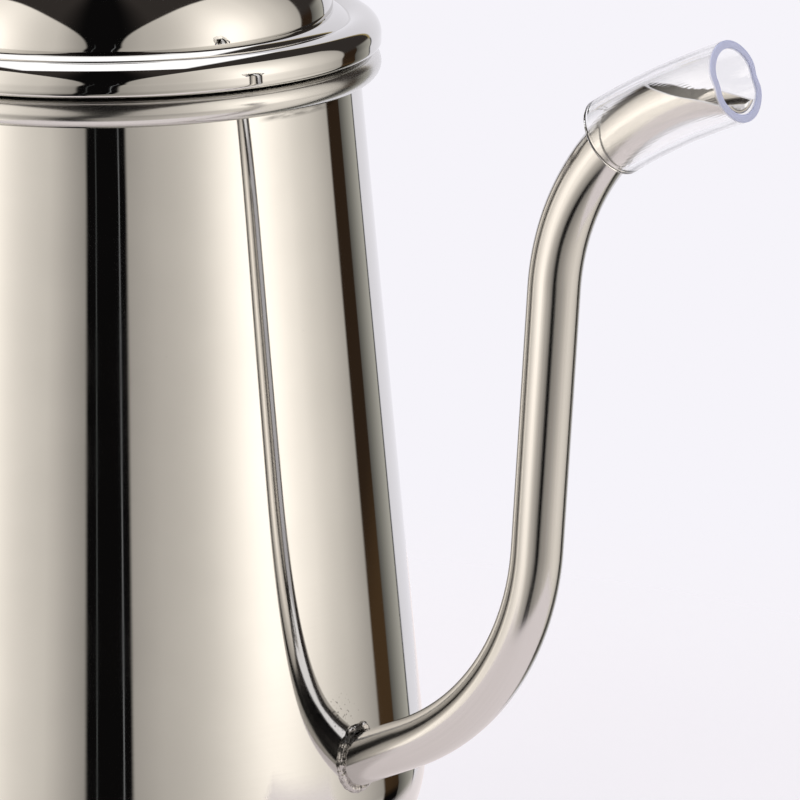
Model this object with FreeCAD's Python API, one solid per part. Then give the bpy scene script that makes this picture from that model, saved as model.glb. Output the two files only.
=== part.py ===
import FreeCAD, Part
import math
import os

Vector = FreeCAD.Vector

# Gooseneck kettle, millimetres. Origin at the centre of the resting face, +Z up,
# spout towards +X, handle towards -X. Everything is symmetric about the XZ plane.

# Body: a tapered shell with a rounded bottom corner and a rim curled outwards
rim_top_z = 155.6
rim_r = 48.7
wall_taper = 5.31
body_sheet = 0.8
rim_bead_r = 2.5
rim_lip_r = 2.2
rim_curl_gap = 0.25
corner_r = 22.0

# Base: an aluminium disc closed in by a steel cap
base_h = 3.0
base_r = 38.0
base_round = 1.6
base_cap_sheet = 0.6

# Spout: one bent tube, welded to the wall, its tip cut at a slant
spout_root_z = 34.9
spout_root_angle = 25.9
spout_root_run = 12.4
spout_foot_bend_r = 48.3
spout_riser_angle = 86.2
spout_riser_run = 45.5
spout_tip_bend_r = 41.8
spout_tip_angle = 8.0
tube_r = 4.5
tube_wall = 0.6
tip_lip = 1.7
tip_cut_slope = 3.8
weld_ring_r = 5.0
weld_bead_r = 1.2

# Sleeve: a length of clear tube pushed over the tip
sleeve_len = 27.0
sleeve_setback = 1.2
sleeve_wall = 1.3
sleeve_clear = 0.4

# Lid: a domed cover, a ledge round its foot and a rolled bead, over an inner ring
lid_gap = 0.35
lid_overhang = 0.05
lid_sheet = 0.6
lid_curl_r = 0.9
lid_flank = 1.3
lid_bead_r = 3.5
lid_border = 8.45
ledge_w = 2.8
ledge_rise = 4.05
ledge_round = 5.2
dome_h = 20.8
dome_flat_r = 12.0
vent_r = 1.5
vent_place = 24.0
skirt_h = 13.0
skirt_clear = 0.6
skirt_bend_r = 0.8

# Knob: moulded, on a steel collar, held by a screw from inside the lid
collar_foot_r = 11.0
collar_top_r = 8.6
collar_h = 4.0
collar_hollow = 0.6
knob_foot_r = 8.0
knob_waist_r = 8.4
knob_top_r = 14.0
knob_h = 22.0
knob_edge = 4.0
knob_flare_drop = 2.0
knob_flare_inset = 1.0
knob_crown = 2.2
insert_r = 3.6
insert_len = 11.0
washer_r = 5.0
washer_t = 0.8

# Screws
screw_r = 1.95
screw_hole_r = 2.0
screw_pass_r = 2.25
screw_head_r = 3.7
screw_head_h = 2.4
screw_head_round = 1.2
screw_slot_w = 0.9
screw_slot_depth = 1.1
screw_end_gap = 0.3

# Handle: a moulded grip on two steel brackets, with a steel ferrule at each end
handle_span = 80.0
handle_arm = 13.0
grip_bend_r = 24.0
grip_w = 20.0
grip_t = 15.0
grip_round = 6.5
bracket_t = 1.5
bracket_w = 27.0
bracket_h = 22.0
bracket_round = 5.0
bracket_rim_gap = 1.6
tongue_w = 10.0
tongue_t = 4.0
tongue_in_grip = 17.0
tongue_clear = 0.15
ferrule_len = 8.0
ferrule_proud = 0.3
ferrule_wall = 0.8
grip_screw_inset = 9.0
head_clear = 0.3
head_recess = 0.6


# Worked-out places
taper = math.radians(wall_taper)
rim_axis_r = rim_r - rim_bead_r
rim_bead_z = rim_top_z - rim_bead_r
rim_lip_z = rim_top_z - rim_lip_r
mouth_r = rim_axis_r - rim_lip_r
wall_in_r = rim_axis_r - rim_lip_r * math.cos(taper)
wall_in_z = rim_lip_z - rim_lip_r * math.sin(taper)
wall_out_r = rim_axis_r - (rim_lip_r - body_sheet) * math.cos(taper)
wall_out_z = rim_lip_z - (rim_lip_r - body_sheet) * math.sin(taper)
corner_z = base_h + corner_r
corner_axis_r = wall_out_r + ((wall_out_z - corner_z) * math.sin(taper) - corner_r) / math.cos(taper)

lid_r = rim_r + lid_overhang
skirt_r = mouth_r - skirt_clear
flange_z = rim_top_z + lid_gap
lid_curl_z = flange_z + lid_curl_r
lid_bead_z = lid_curl_z + lid_flank
lid_bead_axis_r = lid_r - lid_bead_r
dome_r = lid_r - lid_border
crease_r = dome_r + ledge_w
ledge_z = lid_bead_z + ledge_rise
dome_flat_z = ledge_z + dome_h * math.sqrt(1.0 - (dome_flat_r / dome_r) ** 2)
collar_z = dome_flat_z
knob_z = collar_z + collar_h

handle_upper_z = rim_bead_z - rim_bead_r - bracket_rim_gap - bracket_h / 2.0
handle_lower_z = handle_upper_z - handle_span


def wall_radius(z):
    """Outer radius of the tapered wall at a height."""
    return wall_out_r + (wall_out_z - z) * math.tan(taper)


def at(r, z):
    """A point of a half section: radius and height."""
    return Vector(r, 0.0, z)


def polar(centre, radius, degrees):
    """A point at an angle about a centre in the XZ plane, counted from +X towards +Z."""
    angle = math.radians(degrees)
    return centre + Vector(radius * math.cos(angle), 0.0, radius * math.sin(angle))


def line(start, end):
    return Part.LineSegment(start, end).toShape()


def arc(centre, radius, start_deg, end_deg):
    """Arc in the XZ plane from one angle to another, by way of the angle between."""
    middle = (start_deg + end_deg) / 2.0
    points = [polar(centre, radius, degrees) for degrees in (start_deg, middle, end_deg)]
    return Part.Arc(*points).toShape()


def turned(edges):
    """Solid of revolution about Z from the edges of a closed half section."""
    section = Part.Face(Part.Wire(edges))
    return section.revolve(Vector(0, 0, 0), Vector(0, 0, 1), 360.0)


def heading_vector(degrees):
    return Vector(math.cos(math.radians(degrees)), 0.0, math.sin(math.radians(degrees)))


def left_of(degrees):
    """Unit vector to the left of a heading in the XZ plane, seen with +X right and +Z up."""
    return heading_vector(degrees + 90.0)


def swept(face, start, heading, legs):
    """Solid left by a face that moves along straight runs and round bends in the XZ plane.

    A leg is ("run", length) or ("bend", radius, turn in degrees, positive to the left).
    Gives the solid and the list of (place, heading) at the end of each leg.
    """
    solids = []
    stations = []
    place = Vector(start)
    for leg in legs:
        if leg[0] == "run":
            step = heading_vector(heading) * leg[1]
            solids.append(face.extrude(step))
            face = face.translated(step)
            place = place + step
        else:
            radius, turn = leg[1], leg[2]
            side = 1.0 if turn > 0 else -1.0
            centre = place + left_of(heading) * (radius * side)
            solids.append(face.revolve(centre, Vector(0, -1, 0), turn))
            face = face.rotated(centre, Vector(0, -1, 0), turn)
            place = centre - left_of(heading + turn) * (radius * side)
            heading = heading + turn
        stations.append((place, heading))
    return solids[0].multiFuse(solids[1:]).removeSplitter(), stations


def disc_face(place, heading, radius):
    """Round face square to a heading."""
    circle = Part.Circle(place, heading_vector(heading), radius)
    return Part.Face(Part.Wire(circle.toShape()))


def ring_face(place, heading, outer, inner):
    """Flat ring square to a heading."""
    return disc_face(place, heading, outer).cut(disc_face(place, heading, inner)).Faces[0]


def rounded_face(x, z, width, height, radius):
    """Rounded rectangle square to X, centred on the XZ plane."""
    bar = block(x, x + width, width, z - height / 2.0, z + height / 2.0)
    long_edges = [edge for edge in bar.Edges if abs(edge.tangentAt(edge.FirstParameter).x) > 0.99]
    bar = bar.makeFillet(radius, long_edges)
    return [face for face in bar.Faces if abs(face.CenterOfMass.x - x) < 1e-6][0]


def block(x_low, x_high, width, z_low, z_high):
    """Box centred on the XZ plane."""
    return Part.makeBox(x_high - x_low, width, z_high - z_low, Vector(x_low, -width / 2.0, z_low))


def post(x, z_low, z_high, radius):
    """Upright cylinder on the XZ plane."""
    return Part.makeCylinder(radius, z_high - z_low, Vector(x, 0.0, z_low))


def wall_solid(offset):
    """Solid inside the tapered wall, grown outwards by an offset."""
    grow = offset / math.cos(taper)
    return Part.makeCone(
        wall_radius(corner_z) + grow,
        wall_radius(wall_out_z) + grow,
        wall_out_z - corner_z,
        Vector(0, 0, corner_z),
    )


def body_outside():
    """Solid that fills the shell's outer surface, below the rim."""
    corner = at(corner_axis_r, corner_z)
    start = at(0, base_h)
    tangent = polar(corner, corner_r, wall_taper)
    top = at(wall_out_r, wall_out_z)
    return turned([
        line(start, at(corner_axis_r, base_h)),
        arc(corner, corner_r, -90.0, wall_taper),
        line(tangent, top),
        line(top, at(0, wall_out_z)),
        line(at(0, wall_out_z), start),
    ])


def rim_curl_end():
    """Angle at which the curled rim stops, a small gap short of the wall."""
    reach = rim_axis_r - wall_out_r
    drop = rim_bead_z - wall_out_z
    wall_distance = reach * math.cos(taper) + drop * math.sin(taper)
    return wall_taper - math.degrees(math.acos((rim_curl_gap - wall_distance) / rim_bead_r))


def make_body_shell():
    corner = at(corner_axis_r, corner_z)
    lip = at(rim_axis_r, rim_lip_z)
    bead = at(rim_axis_r, rim_bead_z)
    stop = rim_curl_end()
    inner_corner = corner_r - body_sheet
    inner_lip = rim_lip_r - body_sheet
    inner_bead = rim_bead_r - body_sheet
    shell = turned([
        line(at(0, base_h), at(corner_axis_r, base_h)),
        arc(corner, corner_r, -90.0, wall_taper),
        line(polar(corner, corner_r, wall_taper), at(wall_out_r, wall_out_z)),
        arc(lip, inner_lip, 180.0 + wall_taper, 90.0),
        arc(bead, inner_bead, 90.0, stop),
        line(polar(bead, inner_bead, stop), polar(bead, rim_bead_r, stop)),
        arc(bead, rim_bead_r, stop, 90.0),
        arc(lip, rim_lip_r, 90.0, 180.0 + wall_taper),
        line(at(wall_in_r, wall_in_z), polar(corner, inner_corner, wall_taper)),
        arc(corner, inner_corner, wall_taper, -90.0),
        line(at(corner_axis_r, base_h + body_sheet), at(0, base_h + body_sheet)),
        line(at(0, base_h + body_sheet), at(0, base_h)),
    ])
    return shell.cut(spout_rod(tube_r - tube_wall))


def base_section(radius, bottom, round_r):
    """Disc with a rounded lower edge, tall enough to be trimmed by the shell."""
    top = corner_z
    edge = at(radius - round_r, bottom + round_r)
    return turned([
        line(at(0, bottom), at(radius - round_r, bottom)),
        arc(edge, round_r, -90.0, 0.0),
        line(at(radius, bottom + round_r), at(radius, top)),
        line(at(radius, top), at(0, top)),
        line(at(0, top), at(0, bottom)),
    ])


def make_base():
    """The aluminium core and the cap round it, both seated on the shell's bottom."""
    filled = base_section(base_r, 0.0, base_round)
    core = base_section(base_r - base_cap_sheet, base_cap_sheet, base_round - base_cap_sheet)
    outside = body_outside()
    return core.cut(outside), filled.cut(core).cut(outside)


def spout_root():
    return at(wall_radius(spout_root_z), spout_root_z)


def spout_rod(radius):
    """Rod in line with the spout's first run, from inside the wall to outside it."""
    reach = corner_r
    direction = heading_vector(spout_root_angle)
    return Part.makeCylinder(radius, 2.0 * reach, spout_root() - direction * reach, direction)


def spout_legs(first_run):
    return [
        ("run", first_run),
        ("bend", spout_foot_bend_r, spout_riser_angle - spout_root_angle),
        ("run", spout_riser_run),
        ("bend", spout_tip_bend_r, spout_tip_angle - spout_riser_angle),
    ]


def make_spout():
    """The tube, coped to the wall and cut at the tip, and the centre of its last bend."""
    cope = 2.0 * tube_r
    start = spout_root() - heading_vector(spout_root_angle) * cope
    section = ring_face(start, spout_root_angle, tube_r, tube_r - tube_wall)
    tube, stations = swept(section, start, spout_root_angle, spout_legs(cope + spout_root_run))
    end, heading = stations[-1]
    bend_centre = end - left_of(heading) * spout_tip_bend_r
    lip = end + left_of(heading) * (tip_lip - tube_r)
    reach = 2.0 * spout_tip_bend_r
    knife = Part.makeBox(2.0 * reach, reach, reach, lip + Vector(-reach, -reach / 2.0, 0.0))
    knife.rotate(lip, Vector(0, 1, 0), tip_cut_slope)
    return tube.cut(body_outside()).cut(knife), bend_centre


def make_spout_weld():
    """Bead of weld round the tube's foot, lying on the wall."""
    ring = Part.makeTorus(weld_ring_r, weld_bead_r, spout_root(), heading_vector(wall_taper))
    return ring.cut(body_outside()).cut(spout_rod(tube_r))


def make_spout_sleeve(bend_centre):
    """Clear tube that follows the last bend and ends just short of the tip."""
    turn = math.degrees(sleeve_len / spout_tip_bend_r)
    end_angle = spout_tip_angle + math.degrees(sleeve_setback / spout_tip_bend_r)
    inner = tube_r + sleeve_clear
    start = bend_centre + left_of(end_angle) * spout_tip_bend_r
    section = ring_face(start, end_angle, inner + sleeve_wall, inner)
    return section.revolve(bend_centre, Vector(0, -1, 0), turn)


def dome_arc(thickness, from_z):
    """Half of the dome's elliptical section, from a height down to the foot."""
    across = dome_r - thickness
    rise = dome_h - thickness
    centre = at(0, ledge_z)
    ellipse = Part.Ellipse(at(across, ledge_z), at(0, ledge_z + rise), centre)
    return Part.ArcOfEllipse(ellipse, 0.0, math.asin((from_z - ledge_z) / rise)).toShape()


def dome_radius(thickness, z):
    return (dome_r - thickness) * math.sqrt(1.0 - ((z - ledge_z) / (dome_h - thickness)) ** 2)


def arc_centre(start, end, radius):
    """Centre of an arc that bulges to the left on the way from start to end."""
    chord = end - start
    middle = (start + end) * 0.5
    sagitta_leg = math.sqrt(radius ** 2 - (chord.Length / 2.0) ** 2)
    right = Vector(chord.z, 0.0, -chord.x).normalize()
    return middle + right * sagitta_leg


def angle_about(centre, point):
    return math.degrees(math.atan2(point.z - centre.z, point.x - centre.x))


def make_lid_shell():
    bead = at(lid_bead_axis_r, lid_bead_z)
    inner_bead = lid_bead_r - lid_sheet
    curl = at(lid_r - lid_curl_r, lid_curl_z)
    inner_curl = lid_curl_r - lid_sheet
    bead_start = 180.0 - math.degrees(math.acos((lid_bead_axis_r - crease_r) / lid_bead_r))
    crease = polar(bead, lid_bead_r, bead_start)
    foot = at(dome_r, ledge_z)
    ledge = arc_centre(foot, crease, ledge_round)
    inner_ledge = ledge_round - lid_sheet
    foot_deg = angle_about(ledge, foot)
    crease_deg = angle_about(ledge, crease)
    under_z = dome_flat_z - lid_sheet
    under_r = dome_radius(lid_sheet, under_z)
    shell = turned([
        line(at(0, dome_flat_z), at(dome_flat_r, dome_flat_z)),
        dome_arc(0.0, dome_flat_z),
        arc(ledge, ledge_round, foot_deg, crease_deg),
        arc(bead, lid_bead_r, bead_start, 0.0),
        line(at(lid_r, lid_bead_z), at(lid_r, lid_curl_z)),
        arc(curl, lid_curl_r, 0.0, -90.0),
        line(polar(curl, lid_curl_r, -90.0), polar(curl, inner_curl, -90.0)),
        arc(curl, inner_curl, -90.0, 0.0),
        line(at(lid_r - lid_sheet, lid_curl_z), at(lid_r - lid_sheet, lid_bead_z)),
        arc(bead, inner_bead, 0.0, bead_start),
        arc(crease, lid_sheet, bead_start - 180.0, crease_deg - 180.0),
        arc(ledge, inner_ledge, crease_deg, foot_deg),
        arc(foot, lid_sheet, foot_deg - 180.0, -180.0),
        dome_arc(lid_sheet, under_z),
        line(at(under_r, under_z), at(0, under_z)),
        line(at(0, under_z), at(0, dome_flat_z)),
    ])
    screw_hole = post(0.0, ledge_z, knob_z, screw_pass_r)
    vent = post(vent_place, ledge_z, knob_z, vent_r)
    return shell.cut(screw_hole).cut(vent)


def make_lid_skirt():
    """Ring that drops into the mouth; its flange is held by the lid's curled edge."""
    flange_r = lid_r - lid_curl_r
    flange_top = flange_z + lid_sheet
    bottom = flange_z - skirt_h
    bend = at(skirt_r + skirt_bend_r, flange_z - skirt_bend_r)
    return turned([
        line(at(skirt_r, bottom), at(skirt_r, bend.z)),
        arc(bend, skirt_bend_r, 180.0, 90.0),
        line(at(bend.x, flange_z), at(flange_r, flange_z)),
        line(at(flange_r, flange_z), at(flange_r, flange_top)),
        line(at(flange_r, flange_top), at(bend.x, flange_top)),
        arc(bend, skirt_bend_r + lid_sheet, 90.0, 180.0),
        line(at(skirt_r - lid_sheet, bend.z), at(skirt_r - lid_sheet, bottom)),
        line(at(skirt_r - lid_sheet, bottom), at(skirt_r, bottom)),
    ])


def make_knob_collar():
    """Steel collar with hollowed sides, between the dome and the knob."""
    foot = at(collar_foot_r, collar_z)
    top = at(collar_top_r, knob_z)
    middle = (foot + top) * 0.5
    waist = middle - at(collar_h, collar_foot_r - collar_top_r).normalize() * collar_hollow
    collar = turned([
        line(at(0, collar_z), foot),
        Part.Arc(foot, waist, top).toShape(),
        line(top, at(0, knob_z)),
        line(at(0, knob_z), at(0, collar_z)),
    ])
    return collar.cut(post(0.0, collar_z, knob_z, screw_pass_r))


def make_knob():
    """Waisted knob with a rounded rim, a low crown and a pocket for its insert."""
    edge_z = knob_z + knob_h - knob_crown - knob_edge
    top_z = knob_z + knob_h
    foot = at(knob_foot_r, knob_z)
    flare = at(knob_top_r - knob_flare_inset, edge_z - knob_flare_drop)
    waist = at(knob_waist_r, (knob_z + flare.z) / 2.0)
    rim = at(knob_top_r, edge_z)
    shoulder = at(knob_top_r - knob_edge, edge_z + knob_edge)
    round_centre = at(knob_top_r - knob_edge, edge_z)
    crown_r = (shoulder.x ** 2 + knob_crown ** 2) / (2.0 * knob_crown)
    crown_centre = at(0, top_z - crown_r)
    knob = turned([
        line(at(0, knob_z), foot),
        Part.Arc(foot, waist, flare).toShape(),
        line(flare, rim),
        arc(round_centre, knob_edge, 0.0, 90.0),
        arc(crown_centre, crown_r, angle_about(crown_centre, shoulder), 90.0),
        line(at(0, top_z), at(0, knob_z)),
    ])
    return knob.cut(post(0.0, knob_z, knob_z + insert_len, insert_r))


def make_knob_insert():
    outside = post(0.0, knob_z, knob_z + insert_len, insert_r)
    return outside.cut(post(0.0, knob_z, knob_z + insert_len, screw_hole_r))


def make_screw(x, bearing_z, shank_len):
    """Round-headed slotted screw that points up; its head bears at a height."""
    head_bottom = bearing_z - screw_head_h
    head = post(x, head_bottom, bearing_z, screw_head_r)
    rim = [edge for edge in head.Edges if abs(edge.CenterOfMass.z - head_bottom) < 1e-6]
    head = head.makeFillet(screw_head_round, [edge for edge in rim if len(edge.Vertexes) == 1])
    slot = block(
        x - screw_head_r, x + screw_head_r, screw_slot_w, head_bottom, head_bottom + screw_slot_depth
    )
    shank = post(x, bearing_z, bearing_z + shank_len, screw_r)
    return head.cut(slot).fuse(shank).removeSplitter()


def make_knob_fasteners():
    """The spring washer under the dome, and the screw up through it into the insert."""
    under_z = dome_flat_z - lid_sheet
    washer = post(0.0, under_z - washer_t, under_z, washer_r)
    washer = washer.cut(post(0.0, under_z - washer_t, under_z, screw_pass_r))
    bearing_z = under_z - washer_t
    reach = knob_z + insert_len - screw_end_gap - bearing_z
    return washer, make_screw(0.0, bearing_z, reach)


def arm_start(z):
    """Where the grip's end face stands, clear of the wall by the bracket and flame guard."""
    return -(wall_radius(z) + bracket_t / math.cos(taper) + ferrule_len)


def make_bracket(z):
    """Plate welded to the wall with a tongue that reaches into the grip."""
    plate_face = rounded_face(-2.0 * rim_r, z, bracket_w, bracket_h, bracket_round)
    plate = wall_solid(bracket_t).common(plate_face.extrude(Vector(2.0 * rim_r, 0, 0)))
    tongue = block(
        arm_start(z) - tongue_in_grip, -mouth_r, tongue_w, z - tongue_t / 2.0, z + tongue_t / 2.0
    )
    bracket = plate.fuse(tongue).removeSplitter().cut(wall_solid(0.0))
    screw_x = arm_start(z) - grip_screw_inset
    return bracket.cut(post(screw_x, z - tongue_t, z + tongue_t, screw_hole_r))


def make_ferrule(z):
    """Short steel sleeve between a bracket and the grip, shaped to the bracket."""
    wide = grip_w + 2.0 * ferrule_proud
    tall = grip_t + 2.0 * ferrule_proud
    end = arm_start(z)
    outer = rounded_face(end, z, wide, tall, grip_round + ferrule_proud)
    inner = rounded_face(
        end, z, wide - 2.0 * ferrule_wall, tall - 2.0 * ferrule_wall, grip_round + ferrule_proud - ferrule_wall
    )
    step = Vector(ferrule_len + grip_w, 0, 0)
    sleeve = outer.extrude(step).cut(inner.extrude(step))
    return sleeve.cut(wall_solid(bracket_t))


def screw_bearing(z):
    """Height in the grip where a handle screw's head bears."""
    return z - grip_t / 2.0 + head_recess + screw_head_h


def make_grip():
    """Oval bar out from the upper bracket, down beside the wall and back to the lower one."""
    start_x = arm_start(handle_upper_z)
    turn = 90.0 - wall_taper
    run = (handle_span - 2.0 * grip_bend_r) / math.cos(taper)
    lower_arm = arm_start(handle_lower_z) - start_x + handle_arm + run * math.sin(taper)
    section = rounded_face(start_x, handle_upper_z, grip_w, grip_t, grip_round)
    legs = [
        ("run", handle_arm),
        ("bend", grip_bend_r, turn),
        ("run", run),
        ("bend", grip_bend_r, 180.0 - turn),
        ("run", lower_arm),
    ]
    grip, _ = swept(section, at(start_x, handle_upper_z), 180.0, legs)
    for z in (handle_upper_z, handle_lower_z):
        end = arm_start(z)
        half = tongue_t / 2.0 + tongue_clear
        deep = tongue_in_grip + tongue_clear
        grip = grip.cut(block(end - deep, end, tongue_w + 2.0 * tongue_clear, z - half, z + half))
        screw_x = end - grip_screw_inset
        bearing = screw_bearing(z)
        grip = grip.cut(post(screw_x, z - grip_t, bearing, screw_head_r + head_clear))
        grip = grip.cut(post(screw_x, bearing, z, screw_pass_r))
    return grip


def make_handle_screw(z):
    """Screw up through the grip's underside into the tongue."""
    bearing = screw_bearing(z)
    return make_screw(arm_start(z) - grip_screw_inset, bearing, z + tongue_t / 2.0 - bearing)


def make_all():
    base_core, base_cap = make_base()
    spout_tube, bend_centre = make_spout()
    knob_washer, knob_screw = make_knob_fasteners()
    print("spout tip bend centre", [round(value, 4) for value in bend_centre])
    nodes = {
        "body_shell": make_body_shell(),
        "base_core": base_core,
        "base_cap": base_cap,
        "spout_tube": spout_tube,
        "spout_weld": make_spout_weld(),
        "spout_sleeve": make_spout_sleeve(bend_centre),
        "lid_shell": make_lid_shell(),
        "lid_skirt": make_lid_skirt(),
        "knob_collar": make_knob_collar(),
        "knob": make_knob(),
        "knob_insert": make_knob_insert(),
        "knob_washer": knob_washer,
        "knob_screw": knob_screw,
        "handle_grip": make_grip(),
    }
    for place, z in (("upper", handle_upper_z), ("lower", handle_lower_z)):
        nodes["handle_bracket_" + place] = make_bracket(z)
        nodes["handle_ferrule_" + place] = make_ferrule(z)
        nodes["handle_screw_" + place] = make_handle_screw(z)
    return nodes


os.makedirs("parts", exist_ok=True)
for name, shape in make_all().items():
    box = shape.BoundBox
    print(
        name, "solids", len(shape.Solids), "valid", shape.isValid(), "volume", round(shape.Volume, 1),
        "x", round(box.XMin, 2), round(box.XMax, 2), "z", round(box.ZMin, 2), round(box.ZMax, 2),
    )
    shape.exportStep("parts/" + name + ".step")
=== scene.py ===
import math
from functools import partial

import bpy
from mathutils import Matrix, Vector


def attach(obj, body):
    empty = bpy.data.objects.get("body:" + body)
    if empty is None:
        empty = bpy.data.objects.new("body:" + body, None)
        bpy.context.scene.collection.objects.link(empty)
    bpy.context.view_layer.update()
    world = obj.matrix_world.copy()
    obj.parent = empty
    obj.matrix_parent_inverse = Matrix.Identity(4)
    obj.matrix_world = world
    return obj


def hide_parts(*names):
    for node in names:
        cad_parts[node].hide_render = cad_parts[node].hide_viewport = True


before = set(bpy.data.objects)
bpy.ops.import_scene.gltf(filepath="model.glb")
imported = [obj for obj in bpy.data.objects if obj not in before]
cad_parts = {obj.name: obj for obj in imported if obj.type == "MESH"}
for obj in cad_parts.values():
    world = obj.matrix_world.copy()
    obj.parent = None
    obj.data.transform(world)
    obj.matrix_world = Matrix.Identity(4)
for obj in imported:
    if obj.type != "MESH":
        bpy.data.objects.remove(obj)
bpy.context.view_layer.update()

bl_info = {
    "name": "Gooseneck kettle",
    "version": (1, 0, 0),
    "blender": (4, 5, 0),
    "location": "3D View > Sidebar > Kettle",
    "description": "Dresses the kettle's frame: polished steel shells, bent spout, clear sleeve and studio",
    "category": "Object",
}

# Sizes in millimetres and angles in degrees, as the solids of the frame have them
MM = 0.001
BODY_SHEET = 0.8
WALL_TAPER = 5.31
RIM_TOP_Z = 155.6
RIM_R = 48.7
RIM_BEAD_R = 2.5
RIM_LIP_R = 2.2
RIM_CURL_GAP = 0.25
CORNER_R = 22.0
BASE_H = 3.0

SPOUT_ROOT_Z = 34.9
SPOUT_ROOT_ANGLE = 25.9
SPOUT_ROOT_RUN = 12.4
SPOUT_FOOT_BEND_R = 48.3
SPOUT_RISER_ANGLE = 86.2
SPOUT_RISER_RUN = 45.5
SPOUT_TIP_BEND_R = 41.8
SPOUT_TIP_ANGLE = 8.0
TUBE_R = 4.5
TUBE_WALL = 0.6
TIP_LIP = 1.7
TIP_CUT_SLOPE = 3.8

SLEEVE_LEN = 27.0
SLEEVE_SETBACK = 1.2
SLEEVE_WALL = 1.3

LID_GAP = 0.35
LID_OVERHANG = 0.05
LID_SHEET = 0.6
LID_CURL_R = 0.9
LID_FLANK = 1.3
LID_BEAD_R = 3.5
LID_BORDER = 8.45
LEDGE_W = 2.8
LEDGE_RISE = 4.05
LEDGE_ROUND = 5.2
DOME_H = 20.8
DOME_FLAT_R = 12.0
VENT_R = 1.5
VENT_PLACE = 24.0
SCREW_PASS_R = 2.25

# Places that follow from them
TAPER = math.radians(WALL_TAPER)
RIM_AXIS_R = RIM_R - RIM_BEAD_R
RIM_BEAD_Z = RIM_TOP_Z - RIM_BEAD_R
RIM_LIP_Z = RIM_TOP_Z - RIM_LIP_R
NECK_Z = RIM_LIP_Z - RIM_LIP_R
WALL_TOP_R = RIM_AXIS_R - (RIM_LIP_R - BODY_SHEET) * math.cos(TAPER)
WALL_TOP_Z = RIM_LIP_Z - (RIM_LIP_R - BODY_SHEET) * math.sin(TAPER)
WALL_TO_BEAD = (RIM_AXIS_R - WALL_TOP_R) * math.cos(TAPER) + (RIM_BEAD_Z - WALL_TOP_Z) * math.sin(TAPER)
RIM_CURL_END = WALL_TAPER - math.degrees(math.acos((RIM_CURL_GAP - WALL_TO_BEAD) / RIM_BEAD_R))
CORNER_Z = BASE_H + CORNER_R
CORNER_AXIS_R = WALL_TOP_R + ((WALL_TOP_Z - CORNER_Z) * math.sin(TAPER) - CORNER_R) / math.cos(TAPER)
LID_R = RIM_R + LID_OVERHANG
LID_FLANGE_Z = RIM_TOP_Z + LID_GAP

# What the solids leave open, in millimetres: rounded cut ends and the sleeve's play on the tube
TUBE_LIP = 0.12
SLEEVE_LIP = 0.2
SLEEVE_PLAY = 0.25

# The sleeve's pinched end: where along its length the pinch starts, how high the pressed waist is
# in millimetres, what share of the pinch goes all round, and where the cut face starts
PINCH_START = 0.45
PINCH_WAIST = 1.7
PINCH_ROUND = 0.25
CUT_FACE_START = 0.996

# The weld bead, in millimetres: heaped at the top, where the welder starts, with a drop where it ends.
# The end's place and the drop's half width are angles round the tube, in radians
WELD_STAND_OFF = 0.25
WELD_HEAP = 0.55
WELD_HEAP_SWELL = 0.3
WELD_HEAP_POWER = 8
WELD_DROP = 0.45
WELD_DROP_SWELL = 0.5
WELD_END = 0.45
WELD_DROP_SPREAD = 0.16
WELD_RIPPLE_SPACING = 1.1
WELD_SEED = 4.0
# Height from which the top of the weld bead is painted darker, as shade
WELD_PAINTED_SHADE_Z = 37.5

# Marks of the workshop, in metres
SMEAR_PLACE = (44.6 * MM, -1.0 * MM, 149.5 * MM)
SPARK_PLACE = (55.4 * MM, -4.0 * MM, 44.0 * MM)

# Fineness: degrees of a bend and millimetres of a run to a step, and how many steps the others have
BEND_STEP = 1.2
RUN_STEP = 1.5
DOME_STEPS = 60
SLEEVE_STEPS = 48
WELD_STEPS = 240
WELD_ROUND_STEPS = 24
WELD_SLIDES = 12
CUTTER_STEPS = 64
FLOOR_STEPS = 96

# Edges turn sharp past an angle in degrees, and points closer than this in millimetres are one
SHARP_ANGLE = 35.0
ALL_SMOOTH = 180.0
TOUCH = 0.001

UP_AXIS = (0.0, 0.0, 1.0)
SIDE_AXIS = (0.0, 1.0, 0.0)

# The photograph's camera, in metres with its sensor in millimetres, and the side that it faces
CAMERA_PLACE = Vector((0.561861, -0.659266, 0.321414))
CAMERA_BACK = Vector((0.58157, -0.77177, 0.25717))
CAMERA_SENSOR = 36.0
CAMERA_NEAR = 0.01
FACING = math.atan2(CAMERA_PLACE.y, CAMERA_PLACE.x)

# Shares of their size up to which the floor and the part that the steel mirrors as a table are whole,
# and where they have faded
FLOOR_WHOLE = 0.4
TABLE_WHOLE = 0.78
TABLE_FRONT_WHOLE = 0.88
FADED = 0.98

# Kinds of node and settings that come up often. RANGE takes a value, where it starts and ends, and
# what it is to be there
MATH = "ShaderNodeMath"
VECTOR = "ShaderNodeVectorMath"
SPLIT = "ShaderNodeSeparateXYZ"
RANGE = "ShaderNodeMapRange"
MIX = "ShaderNodeMix"
NOISE = "ShaderNodeTexNoise"
BUMP = "ShaderNodeBump"
COORDINATES = "ShaderNodeTexCoord"
SMOOTH = {"interpolation_type": "SMOOTHSTEP"}
RGBA = {"data_type": "RGBA"}


def linear(hex_colour):
    """Linear RGB of an sRGB hex colour."""
    parts = [int(hex_colour[place:place + 2], 16) / 255.0 for place in (0, 2, 4)]
    return tuple(c / 12.92 if c <= 0.04045 else ((c + 0.055) / 1.055) ** 2.4 for c in parts)


def tone(colour, level=1.0):
    """A node's colour from a linear RGB, or from sRGB hex, times a level."""
    parts = linear(colour) if isinstance(colour, str) else colour
    return (*(level * value for value in parts), 1.0)


def colour_of(name, description, hex_colour):
    """Colour property, its default given as sRGB hex."""
    return bpy.props.FloatVectorProperty(
        name=name, description=description, default=linear(hex_colour), subtype="COLOR", min=0.0, max=1.0,
    )


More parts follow.
